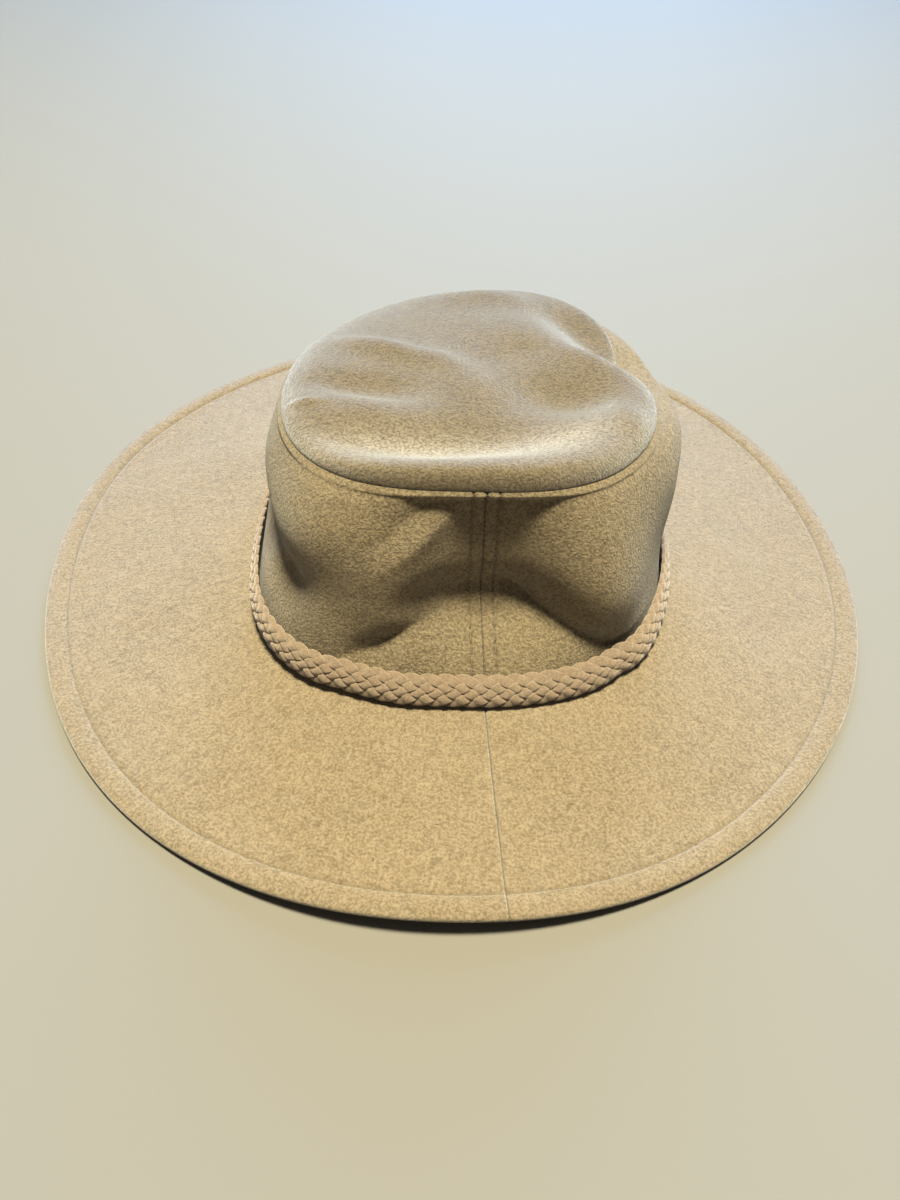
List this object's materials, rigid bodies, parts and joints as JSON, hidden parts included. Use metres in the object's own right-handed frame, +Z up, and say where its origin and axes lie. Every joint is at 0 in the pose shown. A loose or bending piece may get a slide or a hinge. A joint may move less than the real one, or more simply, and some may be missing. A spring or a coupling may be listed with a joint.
{
  "type": "floppy hat",
  "caption": "Wide-brimmed floppy hat of soft camel wool felt cloth, with a creased oval crown, a topstitched turned brim edge and a flat braided band.",
  "frame": {"origin": "middle of the brim's outline, on the surface that the hat lies on", "axes": "+Z up through the crown, +Y along the long way of the head opening, away from the closing seam"},
  "size_m": [0.3484, 0.3734, 0.0947],
  "materials": {
    "felt_cloth": "brushed wool felt cloth, matt with a fine nap, camel heather",
    "felt_braid": "narrow felt strips plaited flat, matt, slightly pinker tan"
  },
  "bodies": {
    "root": {"brim": "felt_cloth", "crown_side": "felt_cloth", "crown_tip": "felt_cloth", "hat_band": "felt_braid"}
  },
  "joints": []
}
